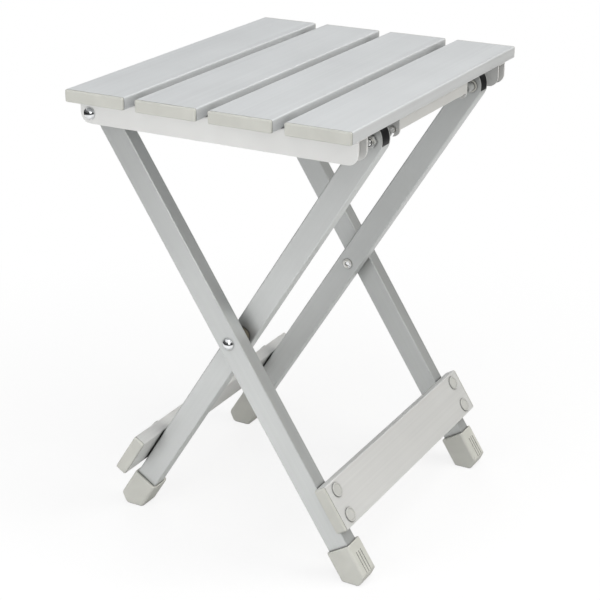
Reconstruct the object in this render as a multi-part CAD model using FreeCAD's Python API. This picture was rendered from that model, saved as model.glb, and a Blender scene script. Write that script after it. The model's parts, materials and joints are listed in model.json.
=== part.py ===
import FreeCAD, Part
import math
import os

V = FreeCAD.Vector
ALONG_X = V(1, 0, 0)
ALONG_Y = V(0, 1, 0)
ALONG_Z = V(0, 0, 1)

# Frame: X across the slats, Y along the slats (rear positive), Z up, floor at zero under the seat's centre.
# All sizes in millimetres and degrees.

# Seat slats: four hollow extrusions with two inner ribs each
seat_height = 467.0
seat_length = 370.0
slat_count = 4
slat_width = 65.6
slat_gap = 12.5
slat_thickness = 12.0
slat_wall = 1.4
slat_rib_offset = 11.0
slat_edge_radius = 1.6

# Push-in end caps of slats and crossbars
cap_flange = 2.6
cap_seam = 0.5
cap_plug_depth = 12.0
cap_clearance = 0.1
slat_cap_corner = 2.0
bar_cap_corner = 2.4

# Rails: channels under the slats, open at the bottom, ends rounded about the top pivots
rail_inset = 19.5
rail_width = 17.5
rail_wall = 1.8
rail_end_inset = 3.0
rail_end_radius = 10.2

# Legs: rectangular tubes with rounded fork ends
leg_width = 24.4
leg_depth = 17.2
leg_wall = 1.6
leg_corner_radius = 1.5
leg_floor_gap = 17.3
cross_pivot_height = 225.8
pivot_drop = 13.5
fork_rise = 1.0
fork_side_radius = 22.0
fork_side_drop = 6.5
rail_leg_gap = 1.4
leg_spacing = 9.3

# Plugs in the forked leg ends
plug_depth = 28.0
plug_clearance = 0.1

# Feet: moulded sleeves with a level sole and a rounded toe
foot_wall = 2.0
foot_outer_wall = 3.2
foot_inner_wall = 5.0
foot_height = 39.7
foot_corner_radius = 3.6
foot_clearance = 0.1
toe_rise = 12.2
toe_cut = 13.1
toe_radius = 5.0
heel_radius = 2.5
foot_rim_radius = 0.8
sole_edge_radius = 1.2
foot_groove_count = 3
foot_groove_pitch = 4.2
foot_groove_width = 1.0
foot_groove_depth = 0.5
foot_groove_start = 10.0

# Crossbars: hollow planks screwed to the legs on thin stand-off rings
bar_width = 48.0
bar_thickness = 12.7
bar_wall = 1.5
bar_edge_radius = 1.6
bar_floor_reach = 80.1
bar_overhang = 8.9
bar_standoff = 1.4
bar_screw_pitch = 27.5
ring_diameter = 11.0
screw_diameter = 4.0
screw_tail = 5.0
screw_head_diameter = 8.6
screw_head_height = 0.9
screw_clearance = 0.05
cover_diameter = 14.0
cover_height = 1.7
cover_edge_radius = 0.8
cover_ring_diameter = 9.0
cover_ring_depth = 0.3

# Rivets that hold rails and bracket to the slats
rivet_diameter = 4.0
rivet_head_diameter = 8.0
rivet_head_height = 1.2
rivet_bulb_diameter = 6.2
rivet_bulb_height = 3.0
rivet_offset = 21.0
rivet_clearance = 0.05
bracket_rivet_count = 3
bracket_rivet_pitch = 50.0

# Pivot hardware: dome bolts in sleeve nuts
bolt_diameter = 6.0
dome_diameter = 12.4
dome_height = 4.8
sleeve_nut_diameter = 8.0
sleeve_nut_head_diameter = 11.0
sleeve_nut_head_height = 1.2
sleeve_nut_recess = 1.6
bush_wall = 2.0
washer_diameter = 15.0
spacer_diameter = 17.0
running_clearance = 0.05
running_gap = 0.2

# Catch pins on the inner legs, held by locking nuts
pin_diameter = 6.0
pin_head_diameter = 8.8
pin_head_height = 3.0
pin_tip = 7.5
pin_tip_chamfer = 0.6
pin_sleeve_diameter = 8.6
pin_collar_diameter = 9.4
pin_collar_length = 3.4
pin_sleeve_length = 14.2
pin_washer_diameter = 12.4
pin_washer_thickness = 1.2
nut_across_flats = 10.0
nut_height = 4.6
nut_ring_diameter = 8.2
nut_ring_height = 1.5
catch_gap = 0.4

# Seat bracket: one bent sheet with a hooked ear at each end
bracket_sheet = 2.0
catch_span = 25.9
bracket_web_drop = 13.6
bracket_flange = 36.0
ear_radius = 6.8
slot_clearance = 0.35
seat_swing = 120.0
closing_margin = 0.1

# Room added to cutting bodies so that they pass right through, and the test for parallel edges
over = 2.0
parallel = 0.001

# Derived places
seat_width = slat_count * slat_width + (slat_count - 1) * slat_gap
seat_under = seat_height - slat_thickness
rail_half = seat_width / 2 - rail_end_inset
pivot_x = rail_half - rail_end_radius
pivot_z = seat_under - pivot_drop
pivot_rise = pivot_z - cross_pivot_height
pivot_reach = math.hypot(pivot_x, pivot_rise)
lean = math.degrees(math.atan2(pivot_x, pivot_rise))
leg_slope = pivot_rise / pivot_x
floor_reach = cross_pivot_height / math.cos(math.radians(lean))
leg_end = floor_reach - leg_floor_gap
foot_top = floor_reach - foot_height
bar_centre = floor_reach - bar_floor_reach
fork_radius = math.hypot(leg_width / 2, fork_rise)
rail_bottom = pivot_z - rail_end_radius
rail_out = seat_length / 2 - rail_inset
rail_in = rail_out - rail_width
outer_leg_out = rail_in - rail_leg_gap
outer_leg_in = outer_leg_out - leg_depth
inner_leg_out = outer_leg_in - leg_spacing
inner_leg_in = inner_leg_out - leg_depth
bar_length = 2 * (outer_leg_out + bar_overhang)
bracket_half_length = inner_leg_in - catch_span
slat_pitch = slat_width + slat_gap
first_slat_x = (slat_width - seat_width) / 2
last_slat_x = first_slat_x + (slat_count - 1) * slat_pitch
fold_ratio = (2 * lean - closing_margin) / seat_swing
slot_lean = math.degrees(math.atan2(fold_ratio * pivot_rise, (2 - fold_ratio) * pivot_x))

# The outer legs lean to the left at the top, the inner legs to the right.
outer_frame = FreeCAD.Placement(V(0, 0, cross_pivot_height), FreeCAD.Rotation(ALONG_Y, -lean))
inner_frame = FreeCAD.Placement(V(0, 0, cross_pivot_height), FreeCAD.Rotation(ALONG_Y, lean))


def box(x0, x1, y0, y1, z0, z1):
    return Part.makeBox(x1 - x0, y1 - y0, z1 - z0, V(x0, y0, z0))


def rod_y(x, z, y0, y1, diameter):
    return Part.makeCylinder(diameter / 2, y1 - y0, V(x, y0, z), ALONG_Y)


def rod_z(x, y, z0, z1, diameter):
    return Part.makeCylinder(diameter / 2, z1 - z0, V(x, y, z0), ALONG_Z)


def rod_x(y, z, x0, x1, diameter):
    return Part.makeCylinder(diameter / 2, x1 - x0, V(x0, y, z), ALONG_X)


def edges_along(shape, direction):
    found = []
    for edge in shape.Edges:
        step = edge.Vertexes[-1].Point - edge.Vertexes[0].Point
        if step.Length > 0 and step.cross(direction).Length < step.Length * parallel:
            found.append(edge)
    return found


def face_towards(shape, direction):
    return max(shape.Faces, key=lambda face: face.CenterOfMass.dot(direction))


def placed(shape, placement):
    copy = shape.copy()
    copy.Placement = placement.multiply(shape.Placement)
    return copy


def to_front(shape):
    return shape.mirror(V(0, 0, 0), ALONG_Y)


def both_ends(shape):
    return Part.makeCompound([shape, to_front(shape)])


def dome(x, z, y, diameter, height):
    # A spherical cap on the plane at y, rising towards the rear
    radius = (diameter * diameter / 4 + height * height) / (2 * height)
    ball = Part.makeSphere(radius, V(x, y + height - radius, z))
    room = 2 * radius
    return ball.common(box(x - room, x + room, y, y + room, z - room, z + room))


def cells(width, wall, ribs):
    # The hollow spans across an extrusion, left to right
    edges = [wall - width / 2]
    for rib in ribs:
        edges.append(rib - wall / 2)
        edges.append(rib + wall / 2)
    edges.append(width / 2 - wall)
    return list(zip(edges[0::2], edges[1::2]))


def extrusion(width, thickness, wall, ribs, radius, length):
    # A flat hollow section along Y with its underside on the plane z = 0
    block = box(-width / 2, width / 2, -length / 2, length / 2, 0, thickness)
    block = block.makeFillet(radius, edges_along(block, ALONG_Y))
    for x0, x1 in cells(width, wall, ribs):
        block = block.cut(box(x0, x1, -length, length, wall, thickness - wall))
    return block


def end_cap(width, thickness, wall, ribs, radius, length, corner):
    # The rear cap of an extrusion: a rounded flange with a fine seam, and one plug in every hollow
    start = length / 2
    cap = box(-width / 2, width / 2, start, start + cap_flange, 0, thickness)
    cap = cap.makeFillet(corner, [edge for edge in edges_along(cap, ALONG_Z) if edge.CenterOfMass.y > start])
    rims = face_towards(cap, ALONG_Z).Edges + face_towards(cap, -ALONG_Z).Edges
    cap = cap.makeFillet(radius, [edge for edge in rims if edge.CenterOfMass.y > start])
    cap = cap.makeChamfer(cap_seam, face_towards(cap, -ALONG_Y).Edges)
    for x0, x1 in cells(width, wall, ribs):
        plug = box(x0 + cap_clearance, x1 - cap_clearance, start - cap_plug_depth, start,
                   wall + cap_clearance, thickness - wall - cap_clearance)
        cap = cap.fuse(plug)
    return cap.removeSplitter()


def fork_trim(side, y_in, y_out):
    # What is taken off a leg's upper end on the side that meets the seat's edge, to leave a wide arc
    centre = leg_width / 2 - fork_side_radius
    start = pivot_reach - fork_side_drop
    corner = box(centre, leg_width, y_in - over, y_out + over, start, pivot_reach + leg_width)
    trim = corner.cut(rod_y(centre, start, y_in - 2 * over, y_out + 2 * over, 2 * fork_side_radius))
    return trim.mirror(V(0, 0, 0), ALONG_X) if side > 0 else trim


def leg(side, y_in, y_out, top_hole, cross_hole):
    # A leg tube in its own frame: cross pivot at the origin, top pivot above it
    half = leg_width / 2
    fork = pivot_reach + fork_rise
    top = pivot_reach + fork_radius
    tube = box(-half, half, y_in, y_out, -leg_end, top)
    tube = tube.makeFillet(leg_corner_radius, edges_along(tube, ALONG_Z))
    shaft = box(-half, half, y_in, y_out, -leg_end, fork)
    tube = tube.common(shaft.fuse(rod_y(0, pivot_reach, y_in, y_out, 2 * fork_radius)))
    tube = tube.cut(fork_trim(side, y_in, y_out))
    low_y = y_in + leg_wall
    high_y = y_out - leg_wall
    tube = tube.cut(box(leg_wall - half, half - leg_wall, low_y, high_y, -leg_end - over, top))
    tube = tube.cut(box(-leg_width, leg_width, low_y, high_y, fork, top + over))
    tube = tube.cut(rod_y(0, pivot_reach, y_in - over, y_out + over, top_hole))
    tube = tube.cut(rod_y(0, 0, y_in - over, y_out + over, cross_hole))
    middle = (y_in + y_out) / 2
    x0, x1 = sorted((0, side * leg_width))
    for step in (-bar_screw_pitch / 2, bar_screw_pitch / 2):
        tube = tube.cut(rod_x(middle, step - bar_centre, x0, x1, screw_diameter + 2 * screw_clearance))
    return tube


def leg_plug(side, y_in, y_out, hole):
    # The moulded plug that fills a leg's forked end: a stem in the tube and a round cheek above it
    low_y = y_in + leg_wall + plug_clearance
    high_y = y_out - leg_wall - plug_clearance
    half = leg_width / 2 - leg_wall - plug_clearance
    shoulder = pivot_reach + fork_rise + plug_clearance
    stem = box(-half, half, low_y, high_y, pivot_reach - plug_depth, shoulder + plug_clearance)
    cheek = rod_y(0, pivot_reach, low_y, high_y, 2 * fork_radius)
    cheek = cheek.common(box(-leg_width / 2, leg_width / 2, low_y, high_y, shoulder, pivot_reach + leg_width))
    plug = stem.fuse(cheek).removeSplitter().cut(fork_trim(side, y_in, y_out))
    return plug.cut(rod_y(0, pivot_reach, low_y - over, high_y + over, hole))


def foot_outline(half, low_y, high_y):
    # The side view of the outer frame's foot: level sole, rounded heel, cut and rounded toe
    middle = cross_pivot_height / leg_slope
    reach = half / math.cos(math.radians(lean))
    heel = middle - reach
    toe = middle + reach
    up = cross_pivot_height
    sole_end = toe - toe_cut
    corners = [V(heel, low_y, 0), V(sole_end, low_y, 0), V(toe - toe_rise / leg_slope, low_y, toe_rise),
               V(toe - up / leg_slope, low_y, up), V(heel - up / leg_slope, low_y, up)]
    body = Part.Face(Part.makePolygon(corners + corners[:1])).extrude(V(0, high_y - low_y, 0))
    low_edges = [edge for edge in edges_along(body, ALONG_Y) if edge.CenterOfMass.z < up / 2]
    body = body.makeFillet(toe_radius, [edge for edge in low_edges if edge.CenterOfMass.x > sole_end - over])
    low_edges = [edge for edge in edges_along(body, ALONG_Y) if edge.CenterOfMass.z < over]
    return body.makeFillet(heel_radius, [min(low_edges, key=lambda edge: edge.CenterOfMass.x)])


def foot(frame, side, y_in, y_out):
    # A moulded foot on the leg's lower end, standing level on the floor
    half = leg_width / 2 + foot_wall
    low_y = y_in - foot_inner_wall
    high_y = y_out + foot_outer_wall
    below = -leg_end - leg_width - foot_wall
    sleeve = box(-half, half, low_y, high_y, below, -foot_top)
    sleeve = sleeve.makeFillet(foot_corner_radius, edges_along(sleeve, ALONG_Z))
    sleeve = sleeve.makeFillet(foot_rim_radius, face_towards(sleeve, ALONG_Z).Edges)
    x0, x1 = sorted((side * (half - foot_groove_depth), side * (half + over)))
    for index in range(foot_groove_count):
        y = (y_in + y_out) / 2 + (index - (foot_groove_count - 1) / 2) * foot_groove_pitch
        groove = box(x0, x1, y - foot_groove_width / 2, y + foot_groove_width / 2,
                     below, -foot_top - foot_groove_start)
        sleeve = sleeve.cut(groove)
    body = foot_outline(half, low_y, high_y)
    if side < 0:
        body = body.mirror(V(0, 0, 0), ALONG_X)
    room = leg_width / 2 + foot_clearance
    socket = box(-room, room, y_in - foot_clearance, y_out + foot_clearance, -leg_end, over - foot_top)
    socket = socket.makeFillet(leg_corner_radius, edges_along(socket, ALONG_Z))
    shoe = placed(sleeve, frame).common(body)
    shoe = shoe.makeFillet(sole_edge_radius, face_towards(shoe, -ALONG_Z).Edges)
    return shoe.cut(placed(socket, frame))


def sleeve_nut(x, z, y_face, y_end):
    # A low round head standing inboard of y_face with a barrel running to y_end
    head = rod_y(x, z, y_face - sleeve_nut_head_height, y_face, sleeve_nut_head_diameter)
    rim = face_towards(head, -ALONG_Y)
    head = head.makeFillet(sleeve_nut_head_height / 2, rim.Edges)
    barrel = rod_y(x, z, y_face, y_end, sleeve_nut_diameter)
    bore = rod_y(x, z, y_face - over, y_end + over, bolt_diameter + 2 * running_clearance)
    return head.fuse(barrel).cut(bore)


def dome_bolt(x, z, y_tip, y_head):
    # A smooth bolt from y_tip to a domed head standing on y_head
    return rod_y(x, z, y_tip, y_head, bolt_diameter).fuse(dome(x, z, y_head, dome_diameter, dome_height))


def tube_y(x, z, y0, y1, outside, inside):
    return rod_y(x, z, y0, y1, outside).cut(rod_y(x, z, y0 - over, y1 + over, inside))


def rivet(x, y, z_head, z_top):
    # A blind rivet: flat head below z_head, formed bulb above z_top
    head = rod_z(x, y, z_head - rivet_head_height, z_head, rivet_head_diameter)
    head = head.makeFillet(rivet_head_height / 2, face_towards(head, -ALONG_Z).Edges)
    bulb = rod_z(x, y, z_top, z_top + rivet_bulb_height, rivet_bulb_diameter)
    return head.fuse(rod_z(x, y, z_head, z_top, rivet_diameter)).fuse(bulb)


def write(name, shape):
    shape.exportStep("parts/" + name + ".step")


os.makedirs("parts", exist_ok=True)

# Places of the rivets along the slats
rail_y = (rail_out + rail_in) / 2
slat_ribs = [-slat_rib_offset, slat_rib_offset]
slat_length = seat_length - 2 * cap_flange
rivet_hole = rivet_diameter + 2 * rivet_clearance
bracket_rivet_y = [(index - (bracket_rivet_count - 1) / 2) * bracket_rivet_pitch
                   for index in range(bracket_rivet_count)]

# Slats and their end caps
slat_section = (slat_width, slat_thickness, slat_wall, slat_ribs, slat_edge_radius, slat_length)
plain_slat = extrusion(*slat_section)
for end in (-1, 1):
    for offset in (-rivet_offset, rivet_offset):
        plain_slat = plain_slat.cut(rod_z(offset, end * rail_y, -over, slat_wall + over, rivet_hole))
slat_cap = end_cap(*slat_section, slat_cap_corner)
for index in range(slat_count):
    place = FreeCAD.Placement(V(first_slat_x + index * slat_pitch, 0, seat_under), FreeCAD.Rotation())
    slat = plain_slat
    if index == slat_count - 1:
        for y in bracket_rivet_y:
            slat = slat.cut(rod_z(0, y, -over, slat_wall + over, rivet_hole))
    name = "slat_" + str(index + 1)
    write(name, placed(slat, place))
    write(name + "_rear_cap", placed(slat_cap, place))
    write(name + "_front_cap", placed(to_front(slat_cap), place))

# Rails with rounded lower ends and a pivot hole near the left end
rail = box(-rail_half, rail_half, rail_in, rail_out, rail_bottom, seat_under)
lower = [edge for edge in edges_along(rail, ALONG_Y) if edge.CenterOfMass.z < pivot_z]
rail = rail.makeFillet(rail_end_radius, lower)
channel = box(-seat_width, seat_width, rail_in + rail_wall, rail_out - rail_wall,
              rail_bottom - over, seat_under - rail_wall)
rail = rail.cut(channel)
pivot_bore = bolt_diameter + 2 * running_clearance
rail = rail.cut(rod_y(-pivot_x, pivot_z, rail_in - over, rail_out + over, pivot_bore))
rail_rivets = []
for index in range(slat_count):
    for offset in (-rivet_offset, rivet_offset):
        x = first_slat_x + index * slat_pitch + offset
        rail = rail.cut(rod_z(x, rail_y, seat_under - rail_wall - over, seat_under + over, rivet_hole))
        rail_rivets.append(rivet(x, rail_y, seat_under - rail_wall, seat_under + slat_wall))
rail_rivets = Part.makeCompound(rail_rivets)
write("rail_rear", rail)
write("rail_front", to_front(rail))
write("rail_rivets_rear", rail_rivets)
write("rail_rivets_front", to_front(rail_rivets))
rail_bush = tube_y(-pivot_x, pivot_z, rail_in + rail_wall, rail_out - rail_wall,
                   bolt_diameter + 2 * bush_wall, pivot_bore)
write("rail_bushes", both_ends(rail_bush))

# Seat bracket under the last slat, with a hooked ear at each end of its web
web_x = pivot_x + ear_radius
flange_z = seat_under - bracket_sheet
bracket = box(web_x - bracket_flange, web_x, -bracket_half_length, bracket_half_length, flange_z, seat_under)
web = box(web_x - bracket_sheet, web_x, -bracket_half_length, bracket_half_length,
          seat_under - bracket_web_drop, seat_under)
bracket = bracket.fuse(web)
ear_in = bracket_half_length - bracket_sheet
ear = rod_y(pivot_x, pivot_z, ear_in, bracket_half_length, 2 * ear_radius)
ear = ear.fuse(box(pivot_x - ear_radius, web_x, ear_in, bracket_half_length, pivot_z, seat_under))
slot_half = pin_diameter / 2 + slot_clearance
slot = rod_y(0, 0, ear_in - over, bracket_half_length + over, 2 * slot_half)
slot = slot.fuse(box(-slot_half, slot_half, ear_in - over, bracket_half_length + over, -2 * ear_radius, 0))
slot.Placement = FreeCAD.Placement(V(pivot_x, 0, pivot_z), FreeCAD.Rotation(ALONG_Y, slot_lean))
ear = ear.cut(slot)
bracket = bracket.fuse(ear).fuse(to_front(ear)).removeSplitter()
bracket_rivets = []
for y in bracket_rivet_y:
    bracket = bracket.cut(rod_z(last_slat_x, y, flange_z - over, seat_under + over, rivet_hole))
    bracket_rivets.append(rivet(last_slat_x, y, flange_z, seat_under + slat_wall))
write("seat_bracket", bracket)
write("bracket_rivets", Part.makeCompound(bracket_rivets))

# Legs, plugs and feet of both frames
sleeve_hole = sleeve_nut_diameter + 2 * running_clearance
pin_hole = pin_diameter + 2 * running_clearance
leg_sets = [("outer", outer_frame, 1, outer_leg_in, outer_leg_out, sleeve_hole, pivot_bore),
            ("inner", inner_frame, -1, inner_leg_in, inner_leg_out, pin_hole, sleeve_hole)]
bar_tube_length = bar_length - 2 * cap_flange
bar_section = (bar_width, bar_thickness, bar_wall, [0], bar_edge_radius, bar_tube_length)
for name, frame, side, y_in, y_out, top_hole, cross_hole in leg_sets:
    tube = placed(leg(side, y_in, y_out, top_hole, cross_hole), frame)
    plug = placed(leg_plug(side, y_in, y_out, top_hole), frame)
    shoe = foot(frame, side, y_in, y_out)
    for label, shape in (("_leg", tube), ("_leg_plug", plug), ("_foot", shoe)):
        write(name + label + "_rear", shape)
        write(name + label + "_front", to_front(shape))

    # The crossbar and its fixings are built flat, outer face up, then stood against the legs
    stand = FreeCAD.Placement(V(side * (leg_width / 2 + bar_standoff), 0, -bar_centre),
                              FreeCAD.Rotation(ALONG_Y, side * 90))
    stand = frame.multiply(stand)
    bar = extrusion(*bar_section)
    rings = []
    screws = []
    covers = []
    middle = (y_in + y_out) / 2
    for y in (-middle, middle):
        for x in (-bar_screw_pitch / 2, bar_screw_pitch / 2):
            hole = screw_diameter + 2 * screw_clearance
            bar = bar.cut(rod_z(x, y, -over, bar_thickness + over, hole))
            ring = rod_z(x, y, -bar_standoff, 0, ring_diameter)
            rings.append(ring.cut(rod_z(x, y, -bar_standoff - over, over, hole)))
            tip = -bar_standoff - leg_wall - screw_tail
            head_top = bar_thickness + screw_head_height
            screw = rod_z(x, y, tip, bar_thickness, screw_diameter)
            screws.append(screw.fuse(rod_z(x, y, bar_thickness, head_top, screw_head_diameter)))
            cover = rod_z(x, y, bar_thickness, bar_thickness + cover_height, cover_diameter)
            cover = cover.makeFillet(cover_edge_radius, face_towards(cover, ALONG_Z).Edges)
            dish = rod_z(x, y, bar_thickness + cover_height - cover_ring_depth,
                         bar_thickness + cover_height + over, cover_ring_diameter)
            cavity = rod_z(x, y, bar_thickness - over, head_top + screw_clearance,
                           screw_head_diameter + 2 * screw_clearance)
            covers.append(cover.cut(dish).cut(cavity))
    cap = end_cap(*bar_section, bar_cap_corner)
    write(name + "_crossbar", placed(bar, stand))
    write(name + "_crossbar_cap_rear", placed(cap, stand))
    write(name + "_crossbar_cap_front", placed(to_front(cap), stand))
    write(name + "_crossbar_rings", placed(Part.makeCompound(rings), stand))
    write(name + "_crossbar_screws", placed(Part.makeCompound(screws), stand))
    write(name + "_screw_covers", placed(Part.makeCompound(covers), stand))

# Seat pivots: bolt through the rail, washer, then the sleeve nut in the outer leg
seat_nut = sleeve_nut(-pivot_x, pivot_z, outer_leg_in, outer_leg_out)
seat_bolt = dome_bolt(-pivot_x, pivot_z, outer_leg_in - sleeve_nut_head_height + sleeve_nut_recess,
                      rail_out + running_gap)
washer = tube_y(-pivot_x, pivot_z, outer_leg_out, rail_in - running_gap, washer_diameter, pivot_bore)
write("seat_pivot_bolts", both_ends(seat_bolt))
write("seat_pivot_sleeve_nuts", both_ends(seat_nut))
write("seat_pivot_washers", both_ends(washer))

# Cross pivots: bolt through the outer leg and a spacer, sleeve nut and bush in the inner leg
nut_face = inner_leg_in - running_gap
spacer_end = inner_leg_out + running_gap
cross_nut = sleeve_nut(0, cross_pivot_height, nut_face, spacer_end)
cross_bolt = dome_bolt(0, cross_pivot_height, nut_face - sleeve_nut_head_height + sleeve_nut_recess,
                       outer_leg_out)
spacer = tube_y(0, cross_pivot_height, spacer_end, outer_leg_in, spacer_diameter, pivot_bore)
bush = tube_y(0, cross_pivot_height, inner_leg_in + leg_wall, inner_leg_out - leg_wall,
              sleeve_nut_diameter + 2 * bush_wall, sleeve_hole)
write("cross_pivot_bolts", both_ends(cross_bolt))
write("cross_pivot_sleeve_nuts", both_ends(cross_nut))
write("cross_pivot_spacers", both_ends(spacer))
write("cross_pivot_bushes", both_ends(bush))

# Catch pins: head inside the bracket's ear, a collared sleeve and a washer, the inner leg, then a locking nut
pin_seat = ear_in - catch_gap
pin_end = inner_leg_out + pin_tip
pin = rod_y(pivot_x, pivot_z, pin_seat, pin_end, pin_diameter)
pin = pin.makeChamfer(pin_tip_chamfer, face_towards(pin, ALONG_Y).Edges)
pin_head = rod_y(pivot_x, pivot_z, pin_seat - pin_head_height, pin_seat, pin_head_diameter)
pin_head = pin_head.makeFillet(pin_tip_chamfer, face_towards(pin_head, -ALONG_Y).Edges)
sleeve_end = inner_leg_in - pin_washer_thickness
sleeve_start = sleeve_end - pin_sleeve_length
pin_sleeve = rod_y(pivot_x, pivot_z, sleeve_start, sleeve_end, pin_sleeve_diameter)
collar_end = sleeve_start + pin_collar_length
pin_sleeve = pin_sleeve.fuse(rod_y(pivot_x, pivot_z, sleeve_start, collar_end, pin_collar_diameter))
pin_sleeve = pin_sleeve.cut(rod_y(pivot_x, pivot_z, sleeve_start - over, sleeve_end + over, pin_hole))
pin_washer = tube_y(pivot_x, pivot_z, sleeve_end, inner_leg_in, pin_washer_diameter, pin_hole)
corner = nut_across_flats / math.sqrt(3)
flats = 6
points = []
for index in range(flats + 1):
    turn = 2 * math.pi * index / flats
    points.append(V(pivot_x + corner * math.cos(turn), inner_leg_out, pivot_z + corner * math.sin(turn)))
nut = Part.Face(Part.makePolygon(points)).extrude(V(0, nut_height, 0))
nut = nut.cut(rod_y(pivot_x, pivot_z, inner_leg_out - over, inner_leg_out + nut_height + over, pin_hole))
nut_ring = tube_y(pivot_x, pivot_z, inner_leg_out + nut_height, inner_leg_out + nut_height + nut_ring_height,
                  nut_ring_diameter, pin_hole)
write("catch_pins", both_ends(pin.fuse(pin_head)))
write("catch_pin_sleeves", both_ends(pin_sleeve))
write("catch_pin_washers", both_ends(pin_washer))
write("catch_pin_nuts", both_ends(nut))
write("catch_pin_nut_rings", both_ends(nut_ring))
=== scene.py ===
# %% [markdown]
# # A folding stool in anodised aluminium
# The stool has a seat of four hollow slats on two rails, and two pairs of crossed legs. The solids come from the
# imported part, at their real size and place. This lesson adds what the eye sees: the finishes, the small turned
# and pressed fittings, the light and the camera.

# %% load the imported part
import bpy
import json
import math
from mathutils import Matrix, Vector


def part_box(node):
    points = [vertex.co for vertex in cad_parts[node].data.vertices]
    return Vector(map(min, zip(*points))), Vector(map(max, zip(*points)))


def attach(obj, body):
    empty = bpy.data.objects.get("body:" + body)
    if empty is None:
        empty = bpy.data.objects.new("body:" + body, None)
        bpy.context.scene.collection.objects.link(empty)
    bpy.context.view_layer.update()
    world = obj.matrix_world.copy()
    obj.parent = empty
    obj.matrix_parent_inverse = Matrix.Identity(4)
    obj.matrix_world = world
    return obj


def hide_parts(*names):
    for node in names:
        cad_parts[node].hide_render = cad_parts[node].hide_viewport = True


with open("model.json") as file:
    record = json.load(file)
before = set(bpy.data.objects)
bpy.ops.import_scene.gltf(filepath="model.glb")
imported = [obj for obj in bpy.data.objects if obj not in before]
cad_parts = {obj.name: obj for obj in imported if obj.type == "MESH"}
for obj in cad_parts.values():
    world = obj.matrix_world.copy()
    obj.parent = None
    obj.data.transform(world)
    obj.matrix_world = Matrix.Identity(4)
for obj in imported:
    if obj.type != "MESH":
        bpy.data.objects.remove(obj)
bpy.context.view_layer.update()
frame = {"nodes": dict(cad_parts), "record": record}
nodes = frame["nodes"]
MM = 0.001

# %% [markdown]
# ## Places that the lesson needs
# The hinge axes and the lean of the legs could be measured again on the solids. They are read from the frame
# instead, so nothing has to be measured twice and the pieces follow if the part is packed anew.

# %% read axes and lean
joints = {joint["name"]: joint for joint in frame["record"]["behaviour"]["joints"]}
seat_axis = Vector(joints["seat_hinge"]["pos_m"])
cross_axis = Vector(joints["leg_pivot"]["pos_m"])
leg_lean = math.atan2(-seat_axis.x, seat_axis.z - cross_axis.z)

# %% [markdown]
# ## Camera
# The photograph was taken from the front right, a little above seat height, with a short telephoto lens. The
# place, aim and focal length below were fitted to the corners of the slats and the feet.

# %% camera
CAMERA_PLACE = Vector((0.7222, -1.30405, 0.8282))
CAMERA_AIM = Vector((0.0, -0.00412, 0.22099))
FOCAL_LENGTH = 92.71     # mm
SENSOR_WIDTH = 36.0      # mm
camera_data = bpy.data.cameras.new("camera")
camera_data.lens = FOCAL_LENGTH
camera_data.sensor_width = SENSOR_WIDTH
camera = bpy.data.objects.new("camera", camera_data)
camera.location = CAMERA_PLACE
camera.rotation_euler = (CAMERA_AIM - CAMERA_PLACE).to_track_quat("-Z", "Y").to_euler()
scene = bpy.context.scene
scene.collection.objects.link(camera)
scene.camera = camera
scene.view_settings.view_transform = "Standard"

# %% [markdown]
# ## Colours and nodes
# Colours are written as sRGB hex codes, as a paint chart gives them. Shaders count in linear light, so one function
# turns the codes over. A second one adds a node, sets it and links it, and every material below is drawn with it.
# Patterns are given by their real size in millimetres, and a third one turns that size into a noise scale.

# %% helpers for colours and nodes
WHITE = "#FFFFFF"


def linear(code):
    # The sRGB curve: a short straight start, then a power
    parts = [int(code[start:start + 2], 16) / 255 for start in (1, 3, 5)]
    light = [part / 12.92 if part <= 0.04045 else ((part + 0.055) / 1.055) ** 2.4 for part in parts]
    return (*light, 1.0)


def add(tree, kind, inputs=None, **settings):
    node = tree.nodes.new(kind)
    for name, value in settings.items():
        setattr(node, name, value)
    for socket, value in (inputs or {}).items():
        if isinstance(value, bpy.types.NodeSocket):
            tree.links.new(value, node.inputs[socket])
        else:
            node.inputs[socket].default_value = value
    return node


def per_metre(size_mm):
    # The scale that makes one cell of a pattern about size_mm wide
    return 1 / (size_mm * MM)


# %% [markdown]
# ## Floor
# The photograph shows the stool on white. The floor is a wide pale sheet. Near the stool it takes light and shadow
# as paper does, and further out it fades to plain white for the camera and for reflections. A white picture behind
# the stool would do it too, but then the feet would cast no shadow and the metal would mirror nothing.

# %% floor
FLOOR_HALF = 12.0
SHADOW_RADIUS = 0.3
FADE_RADIUS = 0.8
NEAR_WHITE = 0.8         # share of plain white right at the stool; the rest takes the shadow
FLOOR_DROP = 0.2 * MM    # keeps the soles and the floor from sharing a plane
PAPER_BOUNCE = "#ACACAC"
bpy.ops.object.select_all(action="DESELECT")
bpy.ops.mesh.primitive_plane_add(size=2 * FLOOR_HALF, location=(0, 0, -FLOOR_DROP))
floor = bpy.context.object
floor.name = "floor"
paper = bpy.data.materials.new("studio_paper")
paper.use_nodes = True
tree = paper.node_tree
tree.nodes.clear()
where = add(tree, "ShaderNodeTexCoord")
reach = add(tree, "ShaderNodeVectorMath", {0: where.outputs["Object"]}, operation="LENGTH")
path = add(tree, "ShaderNodeLightPath")
near = add(tree, "ShaderNodeMath", {0: path.outputs["Is Camera Ray"], 1: NEAR_WHITE}, operation="MULTIPLY")
fade = add(tree, "ShaderNodeMapRange", {"Value": reach.outputs["Value"], "From Min": SHADOW_RADIUS,
                                        "From Max": FADE_RADIUS, "To Min": near.outputs[0]},
           interpolation_type="SMOOTHSTEP")
seen = add(tree, "ShaderNodeMath", {0: path.outputs["Is Camera Ray"], 1: path.outputs["Is Glossy Ray"]},
           operation="MAXIMUM")
seen = add(tree, "ShaderNodeMath", {0: seen.outputs[0], 1: path.outputs["Is Transmission Ray"]},
           operation="MAXIMUM")
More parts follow.
